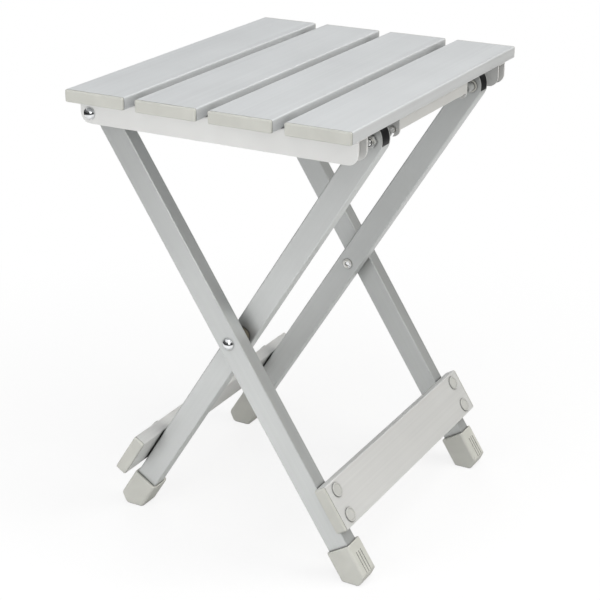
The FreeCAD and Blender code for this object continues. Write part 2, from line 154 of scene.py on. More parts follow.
white_part = add(tree, "ShaderNodeMath", {0: seen.outputs[0], 1: fade.outputs["Result"]}, operation="MULTIPLY")
# Seen directly or mirrored the sheet is white, but it throws back less light than that, as grey paper would
sheet_colour = add(tree, "ShaderNodeMix", {"Factor": seen.outputs[0], "A": linear(PAPER_BOUNCE),
                                           "B": linear(WHITE)}, data_type="RGBA")
lit = add(tree, "ShaderNodeBsdfDiffuse", {"Color": sheet_colour.outputs[2]})
white = add(tree, "ShaderNodeEmission", {"Color": linear(WHITE), "Strength": 1.0})
blend = add(tree, "ShaderNodeMixShader", {"Fac": white_part.outputs[0], 1: lit.outputs[0], 2: white.outputs[0]})
add(tree, "ShaderNodeOutputMaterial", {"Surface": blend.outputs[0]})
floor.data.materials.append(paper)
print("floor fades to white from", SHADOW_RADIUS, "to", FADE_RADIUS, "m")

# %% [markdown]
# ## Background
# Above the floor the world is white for the camera and for reflections, but it lights the stool only weakly, so that
# the soft boxes can shape it.

# %% world
WORLD_LIGHT = 0.22
world = bpy.data.worlds.new("studio")
scene.world = world
world.use_nodes = True
tree = world.node_tree
tree.nodes.clear()
path = add(tree, "ShaderNodeLightPath")
seen = add(tree, "ShaderNodeMath", {0: path.outputs["Is Camera Ray"], 1: path.outputs["Is Glossy Ray"]},
           operation="MAXIMUM")
seen = add(tree, "ShaderNodeMath", {0: seen.outputs[0], 1: path.outputs["Is Transmission Ray"]},
           operation="MAXIMUM")
strength = add(tree, "ShaderNodeMapRange", {"Value": seen.outputs[0], "To Min": WORLD_LIGHT, "To Max": 1.0})
sky = add(tree, "ShaderNodeBackground", {"Color": linear(WHITE), "Strength": strength.outputs["Result"]})
add(tree, "ShaderNodeOutputWorld", {"Surface": sky.outputs[0]})
print("the world lights the stool with", WORLD_LIGHT)

# %% [markdown]
# ## Light
# The tops of the slats are the brightest faces, the faces towards the camera come next, and what lies under the
# seat falls off to mid grey. One lamp can't do that, so there are five soft boxes, weak enough that no pale face clips
# to white. A wide one overhead lights the tops. One at the right, a little behind, lifts the narrow faces of the legs.
# A small low one in front on the left opens the shadow under the slats. One at the rear left is for the views from
# behind. The last stands beside the camera, and its window shows in the chrome domes. Three of them are hidden from
# reflections, because satin legs would show them as white patches in other poses.

# %% soft boxes
LAMPS = (
    # name, place and aim in metres, width in metres, power in watts, tint, seen in reflections
    ("overhead_box", (0.25, -0.2, 2.3), (0.0, 0.0, 0.3), 1.6, 19.0, "#FBFDFF", True),
    ("right_box", (1.6, 0.5, 1.1), (0.0, 0.0, 0.3), 1.2, 18.5, "#FFFDF8", False),
    ("front_left_box", (-0.2, -0.9, 0.3), (0.0, 0.0, 0.1), 0.6, 3.6, WHITE, False),
    ("rear_left_box", (-0.9, 1.3, 0.7), (0.0, 0.0, 0.2), 1.0, 6.0, WHITE, False),
    ("front_right_box", (0.75, -1.25, 0.9), (0.0, 0.0, 0.2), 0.9, 5.5, WHITE, True),
)
for name, place, aim, width, watts, tint, mirrored in LAMPS:
    data = bpy.data.lights.new(name, "AREA")
    data.shape = "SQUARE"
    data.size = width
    data.energy = watts
    data.color = linear(tint)[:3]
    lamp = bpy.data.objects.new(name, data)
    lamp.location = place
    lamp.rotation_euler = (Vector(aim) - Vector(place)).to_track_quat("-Z", "Y").to_euler()
    lamp.visible_glossy = mirrored
    scene.collection.objects.link(lamp)

# %% [markdown]
# ## Felt screen
# Satin metal and chrome look like metal only when they have something dark to mirror. In a studio that is the
# room beyond the paper. Here a low round screen of dark felt stands outside the picture, with a felt ring on the
# floor in front of it. Only reflections see it, so it takes no light away from the stool. Tube and ring could be two
# pieces. Drawing the lower rim of the tube in to a ring leaves no slit between them.

# %% felt screen
SCREEN_SIDES = 64
SCREEN_RADIUS = 3.0
SCREEN_HEIGHT = 2.2
RING_INSIDE = 1.12


def select_nothing(kind):
    # Leaves the active piece in object mode, ready for its faces or edges to be selected in code
    bpy.ops.object.mode_set(mode="EDIT")
    bpy.ops.mesh.select_mode(type=kind)
    bpy.ops.mesh.select_all(action="DESELECT")
    bpy.ops.object.mode_set(mode="OBJECT")


bpy.ops.object.select_all(action="DESELECT")
bpy.ops.mesh.primitive_cylinder_add(vertices=SCREEN_SIDES, radius=SCREEN_RADIUS, depth=SCREEN_HEIGHT,
                                    end_fill_type="NOTHING", location=(0, 0, SCREEN_HEIGHT / 2 + MM))
screen = bpy.context.object
screen.name = "felt_screen"
select_nothing("EDGE")
for edge in screen.data.edges:
    edge.select = all(screen.data.vertices[point].co.z < 0 for point in edge.vertices)
bpy.ops.object.mode_set(mode="EDIT")
bpy.ops.mesh.extrude_edges_move()
shrink = RING_INSIDE / SCREEN_RADIUS
bpy.ops.transform.resize(value=(shrink, shrink, 1), center_override=(0, 0, 0))
bpy.ops.object.mode_set(mode="OBJECT")
screen.visible_camera = False
screen.visible_diffuse = False
screen.visible_shadow = False
print("screen", len(screen.data.polygons), "faces")

# %% [markdown]
# The felt is dark below and paler above, as a room is under its lamps. Without that step the domes would show one
# hard black band.

# %% felt
FELT_DARK = "#454646"
FELT_PALE = "#A4A5A6"
FELT_DARK_BELOW = 0.5
FELT_PALE_ABOVE = 1.0
FELT_ROUGHNESS = 0.9
felt = bpy.data.materials.new("dark_felt")
felt.use_nodes = True
tree = felt.node_tree
shader = tree.nodes["Principled BSDF"]
shader.inputs["Roughness"].default_value = FELT_ROUGHNESS
where = add(tree, "ShaderNodeNewGeometry")
height = add(tree, "ShaderNodeSeparateXYZ", {"Vector": where.outputs["Position"]})
upper = add(tree, "ShaderNodeMapRange", {"Value": height.outputs["Z"], "From Min": FELT_DARK_BELOW,
                                         "From Max": FELT_PALE_ABOVE})
shade = add(tree, "ShaderNodeMix", {"Factor": upper.outputs["Result"], "A": linear(FELT_DARK),
                                    "B": linear(FELT_PALE)}, data_type="RGBA")
tree.links.new(shade.outputs[2], shader.inputs["Base Color"])
screen.data.materials.append(felt)
print("felt is dark up to", FELT_DARK_BELOW, "m")

# %% [markdown]
# ## Painted highlight and painted shade
# Edges are drawn lighter, a painted highlight such as lamps give on a rounded edge, and seams darker, a painted
# shade where little light gets in. Both could be painted on by hand, piece by piece. Two nodes find the places by
# themselves, so they suit every piece alike. The Bevel node gives a softened normal, which leaves the real one only
# near an edge. The Ambient Occlusion node tells how much room a point has in front of it, which is little in a seam.

# %% helpers for painted highlight and shade
EDGE_SAMPLES = 4
EDGE_TURNED = 0.85       # cosine between the real and the softened normal where the painted edge highlight is full
SEAM_SAMPLES = 6
SEAM_SHUT = 0.45         # share of open room at which a seam is darkest
SEAM_OPEN = 0.9          # share of open room at which it ends


def painted_edge_highlight(tree, width_mm, lighter):
    # 1 on flat faces, up to 1 + lighter where the surface turns over an edge within width_mm: a painted highlight
    real = add(tree, "ShaderNodeNewGeometry")
    soft = add(tree, "ShaderNodeBevel", {"Radius": width_mm * MM}, samples=EDGE_SAMPLES)
    same = add(tree, "ShaderNodeVectorMath", {0: real.outputs["True Normal"], 1: soft.outputs["Normal"]},
               operation="DOT_PRODUCT")
    edge = add(tree, "ShaderNodeMapRange", {"Value": same.outputs["Value"], "From Min": 1.0,
                                            "From Max": EDGE_TURNED, "To Min": 1.0, "To Max": 1.0 + lighter})
    return edge.outputs["Result"]


def painted_seam_shade(tree, width_mm, darkest):
    # 1 in the open, down to darkest where another face comes closer than width_mm: painted shade, where little light
    # gets in
    room = add(tree, "ShaderNodeAmbientOcclusion", {"Distance": width_mm * MM}, samples=SEAM_SAMPLES)
    seam = add(tree, "ShaderNodeMapRange", {"Value": room.outputs["AO"], "From Min": SEAM_SHUT,
                                            "From Max": SEAM_OPEN, "To Min": darkest, "To Max": 1.0})
    return seam.outputs["Result"]


# The painted edge highlight is full where an edge turns this far
print("an edge is fully rubbed where it turns by", round(math.degrees(math.acos(EDGE_TURNED))), "degrees")

# %% [markdown]
# ## How every finish begins and ends
# The finishes differ in their patterns, but each begins as a bare shader and ends in the same three places: a colour
# times its shades, a roughness that follows one pattern, and a relief that follows another. Two helpers do that, so a
# finish below has only its own patterns to explain. A noise seldom leaves the middle of its range, so that part is
# stretched over the whole.

# %% helpers for finishes
NOISE_LOW = 0.3
NOISE_HIGH = 0.7


def bare_material(name):
    material = bpy.data.materials.new(name)
    material.use_nodes = True
    return material, material.node_tree


def finish_surface(tree, colour, shades, pattern, smoothest, roughest, relief, strength, depth_mm):
    # The pattern runs from smoothest to roughest, and the relief stands up to depth_mm high
    shader = tree.nodes["Principled BSDF"]
    for shade in shades:
        tinted = add(tree, "ShaderNodeVectorMath", {0: colour, "Scale": shade}, operation="SCALE")
        colour = tinted.outputs["Vector"]
    gloss = add(tree, "ShaderNodeMapRange", {"Value": pattern, "From Min": NOISE_LOW, "From Max": NOISE_HIGH,
                                             "To Min": smoothest, "To Max": roughest})
    bump = add(tree, "ShaderNodeBump", {"Height": relief, "Strength": strength, "Distance": depth_mm * MM})
    tree.links.new(colour, shader.inputs["Base Color"])
    tree.links.new(gloss.outputs["Result"], shader.inputs["Roughness"])
    tree.links.new(bump.outputs["Normal"], shader.inputs["Normal"])


print("noise is stretched from", NOISE_LOW, "to", NOISE_HIGH)

# %% [markdown]
# ## Extruded aluminium
# Slats, crossbars and legs are aluminium pushed through a die, then anodised. The die leaves faint straight lines
# along the length, and the satin etch before anodising makes the metal look soft and pale. A wave texture would draw
# lines too, but evenly spaced ones. Noise that is stretched along the bar gives lines as uneven as a worn die does.
# Real ones are a few tenths of a millimetre apart, which is finer than a pixel here, so they are drawn a few
# millimetres wide. Little light gets into the gaps between bars, so besides a painted shade in the narrow seams a
# wider painted shade is drawn.

# %% extruded aluminium
LINE_WIDTH = 3.0                                 # mm, about ten times the real width so that the lines show
LINE_LENGTH = 400.0                              # mm, about the length of a bar
CLOUD_SIZE = 90.0                                # mm, slow changes of the anodised film
ETCH_GRAIN = 1.2                                 # mm, drawn coarser than the real etch so that it shows
MIXED_LOW, MIXED_HIGH = 0.6, 1.4                 # twice the range of one noise, because two are added
FILM_DARK, FILM_LIGHT = 0.94, 1.05
METAL_SEAM_WIDTH, METAL_SEAM_SHADE = 2.5, 0.2    # mm, and what is left of the colour in the painted seam shade
GAP_WIDTH = 16.0                                 # mm, how far the painted shade in the gaps reaches, a little more than the gap between two slats
LINE_SHINIER, LINE_DULLER = 0.05, 0.06
LINE_RELIEF, LINE_DEPTH = 0.05, 0.1              # strength, and depth in mm


def extruded_aluminium(name, colour, metallic, roughness, gap_shade, tilt=0.0, along="Z"):
    material, tree = bare_material(name)
    tree.nodes["Principled BSDF"].inputs["Metallic"].default_value = metallic
    where = add(tree, "ShaderNodeTexCoord")
    turned = add(tree, "ShaderNodeMapping", {"Vector": where.outputs["Object"], "Rotation": (0, tilt, 0)})
    stretch = {axis: per_metre(LINE_WIDTH) for axis in "XYZ"}
    stretch[along] = per_metre(LINE_LENGTH)
    drawn = add(tree, "ShaderNodeMapping", {"Vector": turned.outputs["Vector"],
                                            "Scale": [stretch[axis] for axis in "XYZ"]})
    lines = add(tree, "ShaderNodeTexNoise", {"Vector": drawn.outputs["Vector"], "Scale": 1.0, "Detail": 3.0,
                                             "Roughness": 0.6})
    cloud = add(tree, "ShaderNodeTexNoise", {"Vector": where.outputs["Object"], "Scale": per_metre(CLOUD_SIZE),
                                             "Detail": 2.0})
    etch = add(tree, "ShaderNodeTexNoise", {"Vector": where.outputs["Object"], "Scale": per_metre(ETCH_GRAIN),
                                            "Detail": 2.0})
    mixed = add(tree, "ShaderNodeMath", {0: lines.outputs["Fac"], 1: cloud.outputs["Fac"]}, operation="ADD")
    tone = add(tree, "ShaderNodeMapRange", {"Value": mixed.outputs[0], "From Min": MIXED_LOW,
                                            "From Max": MIXED_HIGH, "To Min": FILM_DARK, "To Max": FILM_LIGHT})
    relief = add(tree, "ShaderNodeMath", {0: lines.outputs["Fac"], 1: etch.outputs["Fac"]}, operation="ADD")
    # The film's own tone, then painted shade in the seams and a wider painted shade in the gaps between bars
    shades = (tone.outputs["Result"], painted_seam_shade(tree, METAL_SEAM_WIDTH, METAL_SEAM_SHADE),
              painted_seam_shade(tree, GAP_WIDTH, gap_shade))
    finish_surface(tree, linear(colour)[:3], shades, lines.outputs["Fac"], roughness - LINE_SHINIER,
                   roughness + LINE_DULLER, relief.outputs[0], LINE_RELIEF, LINE_DEPTH)
    return material


# Slats and crossbars: a thick satin film, so the eye sees a pale, almost matt metal with faint lines
slat_metal = extruded_aluminium("slat_aluminium_satin_anodised", "#DDDFE0", metallic=0.25, roughness=0.5,
                                gap_shade=0.62, along="Y")
bar_metal = extruded_aluminium("crossbar_aluminium_satin_anodised", "#E2E2E0", metallic=0.25, roughness=0.5,
                               gap_shade=0.62, along="Y")
# Legs: a thinner film that lets more of the metal's own sheen through, so they look greyer
outer_metal = extruded_aluminium("outer_leg_aluminium_satin_anodised", "#CDCFCE", metallic=0.5, roughness=0.42,
                                 gap_shade=0.75, tilt=leg_lean)
inner_metal = extruded_aluminium("inner_leg_aluminium_satin_anodised", "#CDCFCE", metallic=0.5, roughness=0.42,
                                 gap_shade=0.75, tilt=-leg_lean)
print("extruded finishes", slat_metal.name, bar_metal.name, outer_metal.name, inner_metal.name)

# %% [markdown]
# ## Powder coat
# The rails and the bracket are bent sheet with a pale powder coat. The coat flows a little as it melts and sets
# as orange peel, cells about a millimetre wide, drawn twice as wide so that they show. Soft round noise suits it
# better than cell noise, whose walls are too sharp.

# %% powder coat
PEEL_SIZE = 2.4                                  # mm, twice the real width so that it shows
COAT_CLOUD = 60.0                                # mm, where the gun passed twice
COAT_DARK, COAT_LIGHT = 0.96, 1.03
COAT_EDGE_WIDTH, COAT_EDGE_LIGHTER = 1.0, 0.12   # mm, and the share that the painted highlight adds
COAT_SEAM_WIDTH, COAT_SEAM_SHADE = 2.0, 0.6      # mm, and what is left of the colour in the painted seam shade
COAT_GLOSS_CHANGE = 0.05
PEEL_RELIEF, PEEL_DEPTH = 0.12, 0.15             # strength, and depth in mm


def powder_coat(name, colour, roughness):
    material, tree = bare_material(name)
    where = add(tree, "ShaderNodeTexCoord")
    peel = add(tree, "ShaderNodeTexNoise", {"Vector": where.outputs["Object"], "Scale": per_metre(PEEL_SIZE),
                                            "Detail": 1.0})
    cloud = add(tree, "ShaderNodeTexNoise", {"Vector": where.outputs["Object"], "Scale": per_metre(COAT_CLOUD),
                                             "Detail": 2.0})
    tone = add(tree, "ShaderNodeMapRange", {"Value": cloud.outputs["Fac"], "From Min": NOISE_LOW,
                                            "From Max": NOISE_HIGH, "To Min": COAT_DARK, "To Max": COAT_LIGHT})
    # The coat's own tone, a painted highlight on the edges and painted shade in the seams
    shades = (tone.outputs["Result"], painted_edge_highlight(tree, COAT_EDGE_WIDTH, COAT_EDGE_LIGHTER),
              painted_seam_shade(tree, COAT_SEAM_WIDTH, COAT_SEAM_SHADE))
    finish_surface(tree, linear(colour)[:3], shades, peel.outputs["Fac"], roughness - COAT_GLOSS_CHANGE,
                   roughness + COAT_GLOSS_CHANGE, peel.outputs["Fac"], PEEL_RELIEF, PEEL_DEPTH)
    return material


# A baked polyester coat: even and pale, half glossy, with a skin that is not quite flat
rail_coat = powder_coat("rail_powder_coat", "#DDDDDB", roughness=0.42)
bracket_coat = powder_coat("bracket_powder_coat", "#D4D4D2", roughness=0.46)
print("coats", rail_coat.name, bracket_coat.name)

# %% [markdown]
# ## Moulded plastic
# Caps, feet and covers are warm grey polypropylene, plugs and rings the same in black. The mould was spark eroded,
# which leaves an even fine grain, and the colour wanders slightly where the melt flowed. The grain could be cut into
# the mesh, but at a few hundredths of a millimetre a bump is enough.

# %% moulded plastic
PLASTIC_IOR = 1.49
SPARK_GRAIN = 1.0                                      # mm, drawn coarser than the real grain so that it shows
FLOW_SIZE = 25.0                                       # mm, how far the melt runs before its colour changes
FLOW_SWIRL = 0.6
PLASTIC_EDGE_WIDTH, PLASTIC_EDGE_LIGHTER = 1.2, 0.25   # mm, and the share that the painted highlight adds
PLASTIC_SEAM_WIDTH, PLASTIC_SEAM_SHADE = 2.0, 0.15     # mm, and what is left of the colour in the painted seam shade
PLASTIC_GLOSS_CHANGE = 0.06
GRAIN_RELIEF, GRAIN_DEPTH = 0.15, 0.12                 # strength, and depth in mm


def moulded_plastic(name, colour, roughness, wander=0.04):
    material, tree = bare_material(name)
    tree.nodes["Principled BSDF"].inputs["IOR"].default_value = PLASTIC_IOR
    where = add(tree, "ShaderNodeTexCoord")
    grain = add(tree, "ShaderNodeTexNoise", {"Vector": where.outputs["Object"], "Scale": per_metre(SPARK_GRAIN),
                                             "Detail": 3.0})
    flow = add(tree, "ShaderNodeTexNoise", {"Vector": where.outputs["Object"], "Scale": per_metre(FLOW_SIZE),
                                            "Detail": 2.0, "Distortion": FLOW_SWIRL})
    tone = add(tree, "ShaderNodeMapRange", {"Value": flow.outputs["Fac"], "From Min": NOISE_LOW,
                                            "From Max": NOISE_HIGH, "To Min": 1.0 - wander, "To Max": 1.0 + wander})
    # The melt's own tone, a painted highlight on the edges and painted shade in the seams
    shades = (tone.outputs["Result"], painted_edge_highlight(tree, PLASTIC_EDGE_WIDTH, PLASTIC_EDGE_LIGHTER),
              painted_seam_shade(tree, PLASTIC_SEAM_WIDTH, PLASTIC_SEAM_SHADE))
    finish_surface(tree, linear(colour)[:3], shades, grain.outputs["Fac"], roughness - PLASTIC_GLOSS_CHANGE,
                   roughness + PLASTIC_GLOSS_CHANGE, grain.outputs["Fac"], GRAIN_RELIEF, GRAIN_DEPTH)
    return material


# Grey mouldings: warm and dull, with a painted highlight along their edges
cap_plastic = moulded_plastic("cap_polypropylene_moulded", "#C8C8C1", roughness=0.52)
foot_plastic = moulded_plastic("foot_polypropylene_moulded", "#CECEC7", roughness=0.55)
cover_plastic = moulded_plastic("cover_polypropylene_moulded", "#C9C9C5", roughness=0.5)
# Black plugs: the same moulding, in which the flow shows more
black_plastic = moulded_plastic("plug_black_polypropylene_moulded", "#1D1D1E", roughness=0.45, wander=0.15)
# Bearings: harder plastics, a little shinier
acetal = moulded_plastic("bush_acetal_turned", "#CFCDC6", roughness=0.4)
khaki_plastic = moulded_plastic("spacer_khaki_nylon_moulded", "#6B6557", roughness=0.5)
white_nylon = moulded_plastic("washer_nylon_moulded", "#DAD9D2", roughness=0.4)
print("plastics", cap_plastic.name, foot_plastic.name, black_plastic.name)

# %% [markdown]
# ## Plated steel and pressed rivets
# The bolts are chrome plated and polished, so they mirror the room. Nuts, pins and screws are zinc plated: a
# softer shine with a faint blue and straw bloom from the passivation bath. Rivets are bare pressed aluminium. All
# three are one metal shader with a slow haze, because only the colours and the polish set them apart. A painted
# shade draws a fine dark line where a fitting meets what it holds, and a painted highlight lightens its edges.

# %% metals of the fittings
HAZE_CLEAR, HAZE_FULL = 0.35, 0.65
FITTING_EDGE_WIDTH, FITTING_EDGE_LIGHTER = 0.5, 0.08   # mm, and the share that the painted highlight adds
FITTING_SEAM_WIDTH, FITTING_SEAM_SHADE = 1.0, 0.45     # mm, and what is left of the colour in the painted seam shade
HAZE_SHINIER, HAZE_DULLER = 0.8, 1.3                   # times the roughness
HAZE_RELIEF, HAZE_DEPTH = 0.05, 0.1                    # strength, and depth in mm


def fitting_metal(name, colour, bloom, metallic, roughness, haze_mm):
    material, tree = bare_material(name)
    tree.nodes["Principled BSDF"].inputs["Metallic"].default_value = metallic
    where = add(tree, "ShaderNodeTexCoord")
    haze = add(tree, "ShaderNodeTexNoise", {"Vector": where.outputs["Object"], "Scale": per_metre(haze_mm),
                                            "Detail": 4.0})
    share = add(tree, "ShaderNodeMapRange", {"Value": haze.outputs["Fac"], "From Min": HAZE_CLEAR,
                                             "From Max": HAZE_FULL})
    tint = add(tree, "ShaderNodeMix", {"Factor": share.outputs["Result"], "A": linear(colour), "B": linear(bloom)},
               data_type="RGBA")
    # A painted highlight on the edges and painted shade where a fitting meets what it holds
    shades = (painted_edge_highlight(tree, FITTING_EDGE_WIDTH, FITTING_EDGE_LIGHTER),
              painted_seam_shade(tree, FITTING_SEAM_WIDTH, FITTING_SEAM_SHADE))
    finish_surface(tree, tint.outputs[2], shades, haze.outputs["Fac"], roughness * HAZE_SHINIER,
                   roughness * HAZE_DULLER, haze.outputs["Fac"], HAZE_RELIEF, HAZE_DEPTH)
    return material


# Polished chrome: a clear mirror, dark and white at once
chrome = fitting_metal("bolt_chrome_plate_polished", "#E4E5E6", "#DCDEE0", metallic=1.0, roughness=0.06,
                       haze_mm=8.0)
# Passivated zinc: a soft cloudy shine
zinc = fitting_metal("fitting_zinc_plate_passivated", "#DFE1E3", "#DEDCD5", metallic=0.75, roughness=0.28,
                     haze_mm=4.0)
# Pressed aluminium: grey and dull
rivet_metal = fitting_metal("rivet_aluminium_pressed", "#C2C4C6", "#B7B9BB", metallic=1.0, roughness=0.38,
                            haze_mm=3.0)
print("metals", chrome.name, zinc.name, rivet_metal.name)

# %% [markdown]
# ## How the small fittings are made
# Nuts, rivets and covers are turned or pressed around an axis. Each is modelled once, standing on the plane z = 0
# with its axis upright, because that is the easiest place to select faces by height and radius. It starts from a
# round or six-sided blank. A profile could be spun instead, but on a blank each step can be seen and changed.

# %% start a fitting and select on it
NEAR = 0.01 * MM         # how closely a height or a radius has to match
END_FACE = 0.9           # how straight up or down an end face looks
ROUND_SIDES = 48
SMALL_SIDES = 32
HEXAGON = 6


def turned_blank(sides, radius, low, high, turn=0.0):
    bpy.ops.object.select_all(action="DESELECT")
    bpy.ops.mesh.primitive_cylinder_add(vertices=sides, radius=radius, depth=high - low,
                                        location=(0, 0, (low + high) / 2), rotation=(0, 0, turn))
    bpy.ops.object.transform_apply(location=True, rotation=True, scale=True)
    return bpy.context.object


def select_face(piece, height, upwards):
    # The flat end face at this height that looks up or down
    select_nothing("FACE")
    for face in piece.data.polygons:
        looks = face.normal.z > END_FACE if upwards else face.normal.z < -END_FACE
        face.select = looks and abs(face.center.z - height) < NEAR
    bpy.ops.object.mode_set(mode="EDIT")


print("round blanks have", ROUND_SIDES, "or", SMALL_SIDES, "sides")

# %% [markdown]
# Three more steps shape a blank: a rim is rounded, an end face is drawn out to the next step of the profile, and one
# blank cuts or joins another.

# %% shape a fitting


def round_rim(piece, height, radius, amount, steps):
    # Bevel the ring of edges at this height and radius
    select_nothing("EDGE")
    points = piece.data.vertices
    for edge in piece.data.edges:
        ends = [points[index].co for index in edge.vertices]
        edge.select = all(abs(end.z - height) < NEAR and abs(end.xy.length - radius) < NEAR for end in ends)
    bpy.ops.object.mode_set(mode="EDIT")
    bpy.ops.mesh.bevel(offset=amount, segments=steps, affect="EDGES")
    bpy.ops.object.mode_set(mode="OBJECT")


def drawn_out(length, widen=1.0):
    # Pull the selected end face out along the axis and change its width
    bpy.ops.mesh.extrude_region_move(TRANSFORM_OT_translate={"value": (0, 0, length)})
    bpy.ops.transform.resize(value=(widen, widen, 1), center_override=(0, 0, 0))


def combine(piece, tool, operation):
    change = piece.modifiers.new("combine", "BOOLEAN")
    change.operation = operation
    change.solver = "EXACT"
    change.object = tool
    bpy.ops.object.select_all(action="DESELECT")
    piece.select_set(True)
    bpy.context.view_layer.objects.active = piece
    bpy.ops.object.modifier_apply(modifier=change.name)
    bpy.data.objects.remove(tool)


print("rims and end faces are found to within", NEAR / MM, "mm")

# %% [markdown]
# Copies of a finished fitting are turned to where they belong, their place is put into the mesh, and they are joined
# to one piece that rides a body. Each piece takes the place of the plain node that stood for it.

# %% set a fitting in its places
SMOOTH_BELOW = math.radians(32)


def fit_copies(master, name, places, finish, body, stands_for):
    copies = []
    for place, facing in places:
        copy = master.copy()
        copy.data = master.data.copy()
        copy.location = place
        copy.rotation_euler = Vector(facing).to_track_quat("Z", "Y").to_euler()
        scene.collection.objects.link(copy)
        copies.append(copy)
    bpy.ops.object.select_all(action="DESELECT")
    for copy in copies:
        copy.select_set(True)
    bpy.context.view_layer.objects.active = copies[0]
    bpy.ops.object.transform_apply(location=True, rotation=True, scale=True)
    bpy.ops.object.join()
    piece = bpy.context.object
    piece.name = name
    bpy.ops.object.shade_smooth_by_angle(angle=SMOOTH_BELOW)
    piece.data.materials.append(finish)
    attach(piece, body)
    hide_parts(*stands_for)
    print(name, len(copies), "copies,", len(piece.data.polygons), "faces")


print("edges under", round(math.degrees(SMOOTH_BELOW)), "degrees are shaded smooth")

# %% [markdown]
# ## Screw covers
# Each crossbar is held by four screws, and a moulded cover is pressed over every screw head. It is a shallow cup
# with a raised rim. A dish could be cut out with a second blank. Insets are simpler: the first makes the rim, the
# second goes down and makes the dish, and two more lift the middle to the low swell that a moulding gets as it cools.

# %% model the cover
COVER_RADIUS = 7.0 * MM
COVER_HEIGHT = 1.7 * MM
RIM_WIDTH = 1.0 * MM
RIM_ROUND = 0.55 * MM
RIM_STEPS = 3
DISH_DEPTH = 0.55 * MM
DISH_SLOPE = 0.35 * MM
SWELL_STEPS = ((2.0, 0.18), (1.6, 0.07))    # mm inwards and mm up
cover = turned_blank(ROUND_SIDES, COVER_RADIUS, 0.0, COVER_HEIGHT)
select_face(cover, COVER_HEIGHT, True)
bpy.ops.mesh.inset(thickness=RIM_WIDTH)
bpy.ops.mesh.inset(thickness=DISH_SLOPE, depth=-DISH_DEPTH)
for draw_in, rise in SWELL_STEPS:
    bpy.ops.mesh.inset(thickness=draw_in * MM, depth=rise * MM)
bpy.ops.object.mode_set(mode="OBJECT")
round_rim(cover, COVER_HEIGHT, COVER_RADIUS, RIM_ROUND, RIM_STEPS)
print("cover", len(cover.data.polygons), "faces")

# %% [markdown]
# The covers sit in pairs on the outer face of each crossbar, one pair over each leg. Their places follow the lean of
# the leg from the cross pivot, so they stay square to the crossbar.

# %% set the covers on the crossbars
PLANK_FACE = 26.3 * MM       # from the leg's middle line out to the crossbar's face
COVER_DROP = 187.26 * MM     # from the cross pivot down the leg to the crossbar's middle
COVER_SPREAD = 13.75 * MM    # half the distance between the two covers of a pair


def middle(node):
    low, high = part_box(node)
    return (low + high) / 2


for side, frame_name in ((1, "outer"), (-1, "inner")):
    leg_up = Vector((-side * math.sin(leg_lean), 0, math.cos(leg_lean)))
    outwards = Vector((side * math.cos(leg_lean), 0, math.sin(leg_lean)))
    leg_middle = middle(frame_name + "_leg_rear").y
    places = []
    for y in (-leg_middle, leg_middle):
        for spread in (-COVER_SPREAD, COVER_SPREAD):
            base = cross_axis + outwards * PLANK_FACE + leg_up * (spread - COVER_DROP)
            places.append(((base.x, y, base.z), outwards))
    fit_copies(cover, frame_name + "_cover_cups", places, cover_plastic, frame_name + "_frame",
               [frame_name + "_screw_covers"])
bpy.data.objects.remove(cover)

# %% [markdown]
# ## Rivets
# The rails and the bracket are held by pop rivets. A pop rivet has a low domed head with a hole in the middle,
# where the broken end of the pulling nail sits, and a bulb at the blind end. A flattened ball would give the dome, but
# not the hole. Three insets that rise less and less build the dome, and three more the hole and the nail. The shank
# and the bulb are drawn out of the back.

# %% model the rivet
RIVET_RADIUS = 4.0 * MM
RIVET_EDGE = 0.4 * MM
RIVET_HEIGHT = 1.2 * MM
DOME_STEPS = ((0.7, 0.4), (0.9, 0.28), (0.8, 0.12))        # mm inwards and mm up
NAIL_STEPS = ((0.15, -0.7), (0.25, 0.0), (0.12, 0.35))
SHANK_RADIUS = 2.0 * MM
BULB_HEIGHT = 3.0 * MM
BULB_SHOULDER = 0.2 * MM
BULB_SWELL = 1.5         # the bulb's width in shanks
BULB_TAPER = 0.8         # its end's width in bulbs


def pop_rivet(node):
    # What the head and the bulb leave of the node's height is the grip
    low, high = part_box(node)
    grip = high.z - low.z - RIVET_HEIGHT - BULB_HEIGHT
    rivet = turned_blank(SMALL_SIDES, RIVET_RADIUS, 0.0, RIVET_EDGE)
    select_face(rivet, RIVET_EDGE, True)
    for draw_in, rise in DOME_STEPS + NAIL_STEPS:
        bpy.ops.mesh.inset(thickness=draw_in * MM, depth=rise * MM)
    select_face(rivet, 0.0, False)
    bpy.ops.mesh.inset(thickness=RIVET_RADIUS - SHANK_RADIUS)
    drawn_out(-grip)
    drawn_out(-BULB_SHOULDER, BULB_SWELL)
    drawn_out(2 * BULB_SHOULDER - BULB_HEIGHT)
    drawn_out(-BULB_SHOULDER, BULB_TAPER)
    bpy.ops.object.mode_set(mode="OBJECT")
    return rivet, low.z + RIVET_HEIGHT


# %% [markdown]
# Two rivets hold each slat to each rail, and three hold the bracket to the last slat. Their heads look down.

# %% set the rivets
DOWN = Vector((0, 0, -1))
RIVET_OFFSET = 21.0 * MM     # from the slat's middle
BRACKET_RIVET_PITCH = 50.0 * MM
slat_centres = [middle("slat_%d" % number).x for number in (1, 2, 3, 4)]
for node in ("rail_rivets_front", "rail_rivets_rear"):
    rivet, head_seat = pop_rivet(node)
    places = [((x + offset, middle(node).y, head_seat), DOWN)
              for x in slat_centres for offset in (-RIVET_OFFSET, RIVET_OFFSET)]
    fit_copies(rivet, node + "_domed", places, rivet_metal, "seat", [node])
    bpy.data.objects.remove(rivet)

rivet, head_seat = pop_rivet("bracket_rivets")
places = [((max(slat_centres), step * BRACKET_RIVET_PITCH, head_seat), DOWN) for step in (-1, 0, 1)]
fit_copies(rivet, "bracket_rivets_domed", places, rivet_metal, "seat", ["bracket_rivets"])
bpy.data.objects.remove(rivet)

